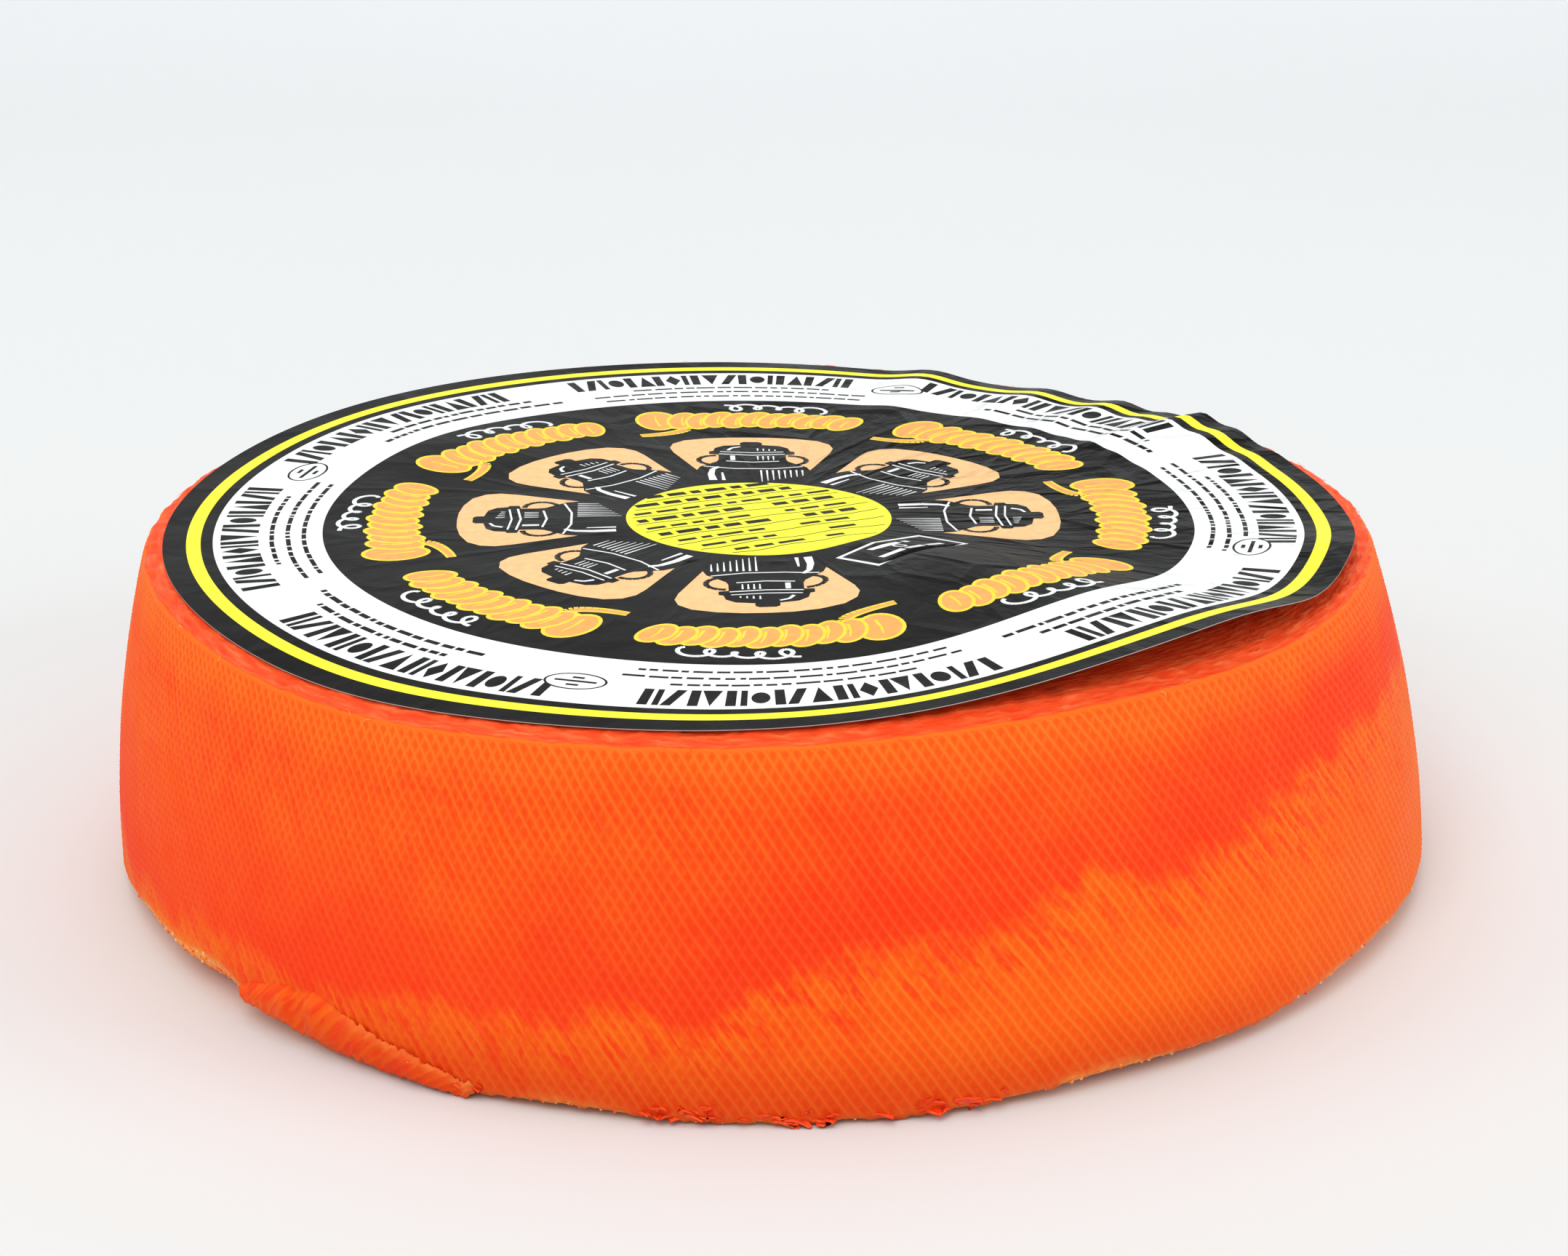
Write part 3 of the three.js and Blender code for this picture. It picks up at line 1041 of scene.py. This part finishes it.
def paint_dashes(ink, radius, angle, length, height):
    """A line of small print stood in for by plain dashes along an arc, centred on an angle."""
    x = -length / 2
    while x < length / 2 - 0.6:
        dash = min(print_dice.uniform(0.7, 3.4), length / 2 - x)
        lifted = print_dice.uniform(-0.08, 0.08) * height
        paint(ink, wrap(box(x, x + dash, lifted - height / 2, lifted + height / 2), radius, angle))
        x += dash + print_dice.uniform(0.35, 0.7)


def paint_frieze(angle):
    """A bold row of plain solid shapes, one row in each sector of the white band."""
    shapes = {                    # outline and how far on the next shape stands
        "bar": (box(0, 1.4, -2.6, 2.6), 2.0),
        "post": (box(0, 0.9, -2.6, 2.6), 1.5),
        "slant": ([(0, -2.6), (1.4, -2.6), (3.0, 2.6), (1.6, 2.6)], 3.2),
        "wedge": ([(0, -2.6), (2.8, -2.6), (1.4, 2.6)], 3.0),
        "drop": ([(0, 2.6), (1.4, -2.6), (2.8, 2.6)], 3.0),
        "lozenge": ([(0, 0), (1.3, -2.6), (2.6, 0), (1.3, 2.6)], 3.0),
        "dot": (ellipse(1.3, 0, 1.3, 1.9, steps=16), 3.1),
    }
    rhythm = (
        "bar", "slant", "post", "dot", "bar", "wedge", "bar", "lozenge", "post", "bar", "drop",
        "slant", "bar", "dot", "post", "bar", "wedge", "bar", "slant", "post", "bar",
    )
    x = -26.5
    for shape in rhythm:
        outline, advance = shapes[shape]
        paint("black", wrap([(x + px, 1.1 * py) for px, py in outline], 0.873 * LABEL_RADIUS, angle))
        x += advance


def paint_garland(angle):
    """A garland of overlapping leaves with a hooked stem, each leaf orange with a yellow border."""
    radius = 0.617 * LABEL_RADIUS
    stem = [(-15.2 + 5.2 * math.sin(turn) - 1.1 * turn, -2.2 - 3.4 * (1 - math.cos(turn)) * 0.62)
            for turn in (step / 16 * 3.5 for step in range(17))]
    leaves = [(-15.4, 0.9, 3.0, 4.6, -0.2)]
    for number in range(10):
        leaves.append((-11.2 + 3.05 * number, 0.25 * (-1) ** number, 2.1, 4.1 - 0.07 * number, -0.36))
    for grow, ink in ((0.7, "gold"), (0.0, "orange")):
        paint_stroke(ink, stem, 1.5 + 2 * grow, 0.45, wrap, radius, angle)
    for x, y, half_width, half_height, tilt in leaves:
        paint("gold", wrap(ellipse(x, y, half_width + 0.55, half_height + 0.65, tilt), radius, angle))
        paint("orange", wrap(ellipse(x, y, half_width, half_height, tilt), radius, angle))
        vein = [(x + 0.25 * half_height * math.sin(tilt), y - 0.62 * half_height),
                (x - 0.1, y), (x - 0.35 * half_height * math.sin(tilt), y + 0.55 * half_height)]
        paint_stroke("gold", vein, 0.5, 0.6, wrap, radius, angle)


def paint_tendril(angle):
    """A white looping flourish outside each garland."""
    radius = 0.689 * LABEL_RADIUS
    loops = []
    for step in range(97):
        share = step / 96
        turn = share * 4.5 * 2 * math.pi
        swing = 1.35 + 0.35 * math.sin(7 * share + 1)
        x = 16.5 * (share - 0.5) + swing * math.sin(turn)
        y = swing * math.cos(turn) + 0.5 * math.sin(5 * share)
        loops.append((x, y))
    paint_stroke("white", loops, 0.72, 0.0, wrap, radius, angle - 4)


def mirrored(half_outline):
    """Closes a left half, listed from its bottom to its top, with the same half turned over."""
    return half_outline + [(-x, y) for x, y in reversed(half_outline)]


def paint_petal(angle):
    """A peach panel with a black milk churn on it, its shine and its hatching in white."""
    panel = [
        (-7.6, 23.7), (-10.3, 31.0), (-12.8, 37.6), (-13.4, 40.2), (-12.9, 42.5), (-11.0, 44.5),
        (-7.4, 45.8), (-3.6, 46.4), (-0.5, 46.5),
    ]
    paint("peach", stand(mirrored(panel), angle))
    churn = [
        (-9.0, 19.5), (-9.2, 27.6), (-8.6, 29.8), (-7.0, 31.6), (-5.8, 33.0), (-5.5, 34.2), (-5.5, 36.8),
        (-7.0, 37.1), (-7.0, 38.6), (-6.3, 38.9), (-6.0, 40.6), (-4.6, 41.9), (-1.8, 42.4), (-1.8, 43.6),
        (-1.2, 44.1),
    ]
    paint("black", stand(mirrored(churn), angle))
    for side in (-1, 1):
        handle = [(side * (5.9 + 2.9 * math.sin(turn)), 33.6 - 2.7 * math.cos(turn))
                  for turn in (step / 8 * math.pi for step in range(9))]
        paint_stroke("black", handle, 0.9, 0.0, stand, angle)
    strokes = [                   # the shine down the left side, then the hoops
        ([(-6.6, 22.0), (-6.9, 25.5), (-6.6, 28.4), (-5.6, 29.9)], 1.3, 0.5),
        ([(-4.9, 22.0), (-5.1, 26.5)], 0.6, 0.5),
        ([(-3.2, 33.8), (-3.2, 36.4)], 0.8, 0.0),
        ([(-3.9, 39.4), (-3.2, 40.8), (-1.8, 41.4)], 0.6, 0.3),
        ([(-8.0, 30.1), (-3.0, 28.9), (3.0, 28.9), (8.0, 30.1)], 0.35, 0.0),
        ([(-4.3, 33.3), (0, 32.7), (4.3, 33.3)], 0.35, 0.0),
        ([(-5.4, 37.3), (0, 36.7), (5.4, 37.3)], 0.35, 0.0),
        ([(-5.2, 38.6), (0, 38.1), (5.2, 38.6)], 0.3, 0.0),
    ]
    for line in range(8):         # the hatching down the right side
        x = 1.2 + 0.95 * line
        strokes.append(([(x, 28.0), (x, 21.2 + 0.5 * line)], 0.34, 0.6))
    for line in range(4):
        x = 0.9 + 0.85 * line
        strokes.append(([(x, 36.2), (x, 34.0)], 0.3, 0.4))
    for line in range(4):
        x = 1.0 + 0.95 * line
        strokes.append(([(x, 40.6 - 0.25 * line), (x, 39.2)], 0.3, 0.4))
    for points, width, taper in strokes:
        paint_stroke("white", points, width, taper, stand, angle)


def paint_note(angle):
    """A plain framed note in the sector that has no milk churn."""
    paint("white", stand([(-9.4, 24.5), (-10.2, 33.8), (10.2, 33.8), (9.4, 24.5), (0, 23.4)], angle))
    paint("black", stand([(-8.8, 25.2), (-9.5, 33.2), (9.5, 33.2), (8.8, 25.2), (0, 24.1)], angle))
    for y, spans in ((31.2, ((-7, -3.4), (-2.6, 1.0), (1.8, 6.8))), (26.6, ((-4.5, -3.4), (-2.4, 4.2)))):
        for start, end in spans:
            paint("white", stand(box(start, end, y - 0.6, y + 0.6), angle))
    paint("white", stand(ellipse(0, 28.9, 1.0, 1.3, steps=16), angle))
    paint("black", stand(ellipse(0, 28.9, 0.6, 0.9, steps=16), angle))


def paint_oval(angle):
    """An outlined oval stamp with three dashes in it."""
    radius = 0.835 * LABEL_RADIUS
    paint("black", wrap(ellipse(0, 0, 4.6, 2.9, steps=40), radius, angle))
    paint("white", wrap(ellipse(0, 0, 4.25, 2.55, steps=40), radius, angle))
    for y, half in ((1.3, 0.9), (0, 3.1), (-1.3, 0.9)):
        paint("black", wrap(box(-half, half, y - 0.3, y + 0.3), radius, angle))


for number in range(SECTORS):
    middle = FIRST_SECTOR + 360 / SECTORS * number
    paint_frieze(middle + 3)
    if number % 2:
        for radius, length in ((0.820, 30), (0.790, 38)):
            paint_dashes("black", radius * LABEL_RADIUS, middle - 4, length, 0.95)
    else:
        for radius, length in ((0.820, 34), (0.793, 48), (0.766, 44)):
            paint_dashes("black", radius * LABEL_RADIUS, middle + 2, length, 0.7)
    paint_garland(middle)
    paint_tendril(middle)
    if number == NOTE_SECTOR:
        paint_note(middle)
    else:
        paint_petal(middle)
for angle in (72, 162, -109, -13):
    paint_oval(angle)

# The yellow middle, with a slanted table of plain rules and dashes.
DISC_RADIUS = 0.225 * LABEL_RADIUS
TABLE_TILT = 27.0
paint("yellow", circle(DISC_RADIUS, 120))
for row in range(-4, 5):
    y = 3.9 * row
    half = math.sqrt(max(DISC_RADIUS**2 - y * y, 1)) - 1.2
    wavy = [(-half + 2 * half * step / 16, y + 0.35 * math.sin(step * 0.9 + row)) for step in range(17)]
    paint_stroke("black", wavy, 0.28, 0.0, stand, 90 + TABLE_TILT)
    if half > 6:
        bold = 1.05 if row in (4, 3, 1, -1) else 0.7
        x = -half + 1.0
        while x < half - 4.5:
            dash = print_dice.uniform(1.6, 4.6)
            if abs(x) > 2.5 or row > 1:
                word = box(x, x + dash, y + 1.1, y + 1.1 + bold * 1.5)
                paint("black", stand(word, 90 + TABLE_TILT))
            x += dash + 0.9


LABEL_RINGS = 42                  # rings of points that let the sheet bend
POINT_SPACING = 1.7


def make_label():
    points, outlines = [], []
    for _, outline in artwork:
        outlines.append(list(range(len(points), len(points) + len(outline))))
        points.extend(Vector(point) for point in outline)
    for ring in range(1, LABEL_RINGS):
        radius = LABEL_RADIUS * ring / LABEL_RINGS
        around = max(8, round(2 * math.pi * radius / POINT_SPACING))
        for step in range(around):
            points.append(Vector(polar(radius, 360 * (step + ring % 2 / 2) / around)))

    flat, _, triangles, _, _, sources = delaunay_2d_cdt(points, [], outlines, 1, 1e-4, True)
    x = np.array([point.x for point in flat])
    y = np.array([point.y for point in flat])
    z = label_height(x, y)
    shift = -LEAN * RIDGE_HEIGHT
    under = np.stack([x + shift, y, z], axis=1) * MM
    upper = np.stack([x + shift, y, z + PAPER_THICKNESS], axis=1) * MM
    count = len(flat)

    def facing_up(triangle):
        (ax, ay), (bx, by), (cx, cy) = (flat[corner] for corner in triangle)
        return (bx - ax) * (cy - ay) - (by - ay) * (cx - ax) > 0

    faces, face_inks, edges = [], [], {}
    for triangle, source in zip(triangles, sources):
        triangle = tuple(triangle) if facing_up(triangle) else tuple(reversed(triangle))
        faces.append(tuple(corner + count for corner in triangle))
        face_inks.append(artwork[max(source)][0])
        # The underside and the cut edges take the grey of painted shade, not the paper's white.
        faces.append(tuple(reversed(triangle)))
        face_inks.append("painted edge shade")
        for start, end in zip(triangle, triangle[1:] + triangle[:1]):
            edges[(start, end)] = True
    for start, end in edges:
        if (end, start) not in edges:
            faces.append((start, end, end + count, start + count))
            face_inks.append("painted edge shade")

    label = link_mesh("printed_label", np.vstack([under, upper]), faces)
    mesh = label.data
    ink = mesh.color_attributes.new("ink", "FLOAT_COLOR", "CORNER")
    colours = np.repeat([(*INKS[name], 1.0) for name in face_inks], [len(face) for face in faces], axis=0)
    ink.data.foreach_set("color", colours.astype(np.float32).reshape(-1))
    mesh.set_sharp_from_angle(angle=math.radians(50))
    return label


def make_paper_material():
    material, tree, shader = make_material("printed_paper")
    place = read(tree, "ShaderNodeTexCoord", "Object")
    to_middle = {"Vector": place, "Location": (LEAN * RIDGE_HEIGHT * MM, 0, 0)}
    x, y, _ = axes(read(tree, "ShaderNodeMapping", "Vector", to_middle))
    angle = x.work_out("ARCTAN2", y, x)
    reach = distance(x, y)

    # Fine wrinkles run out from the middle, and a few sharp creases cross them. Both are
    # strongest at the back right.
    spokes = joined(cosine(angle), sine(angle), reach * 9.0)
    wrinkles = noise_at(spokes, 16.0, 4.0, 0.6)
    from_crease = read(
        tree, "ShaderNodeTexVoronoi", "Distance", {"Vector": spokes, "Scale": 5.0},
        feature="DISTANCE_TO_EDGE",
    )
    creases = mapped(from_crease, 0.0, 0.10, 0.5, 0.0)
    wrinkled = mapped(cosine(angle - math.radians(25)), -0.2, 0.9, 0.12)
    wrinkled = wrinkled * mapped(reach, 18 * MM, 35 * MM)
    fibres = noise_at(place, 700.0, 3.0)
    waves = noise_at(place, 60.0)
    relief = fibres * 0.03 + (waves * 0.5 + (wrinkles + creases) * wrinkled)

    ink = attribute(tree, "ink", "Color")
    fill(shader, {
        "Base Color": mix_colour(tree, 1.0, ink, mapped(fibres, 0.3, 0.7, 0.9, 1.06), "MULTIPLY"),
        "Normal": bumped(relief, 0.8 * MM, 1.0),
        "Roughness": waves * 0.25 + 0.24,
        "Specular IOR Level": 0.035,
    })
    return material


label = make_label()
label.data.materials.append(make_paper_material())
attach(label, "root")
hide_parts("paper_label")
